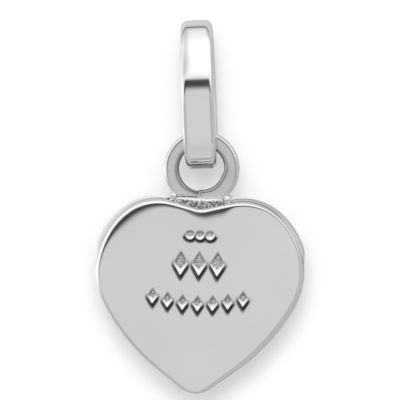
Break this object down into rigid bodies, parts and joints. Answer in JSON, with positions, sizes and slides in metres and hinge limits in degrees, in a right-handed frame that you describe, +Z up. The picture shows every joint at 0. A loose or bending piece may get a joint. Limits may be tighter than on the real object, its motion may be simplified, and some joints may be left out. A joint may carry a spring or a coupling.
{
  "type": "heart pendant",
  "caption": "Small silver heart with a flat punched back, a soldered ring and a tall band bail that a chain runs through.",
  "frame": {"origin": "inside of the bail's top, at the middle of its width, where the chain carries the pendant", "axes": "+Z up as it hangs; X along the chain and across the heart; the heart's flat back faces -Y and its cushioned front +Y"},
  "size_m": [0.0103, 0.0034, 0.0183],
  "materials": {
    "silver": "polished silver, lightly worn"
  },
  "bodies": {
    "bail": {"bail": "silver"},
    "heart": {"heart_with_ring": "silver"}
  },
  "joints": [
    {"name": "heart_swing", "type": "hinge", "parent": "bail", "child": "heart", "pos_m": [0, 0, -0.00502], "axis": [1, 0, 0], "range_deg": [-125, 125]}
  ]
}
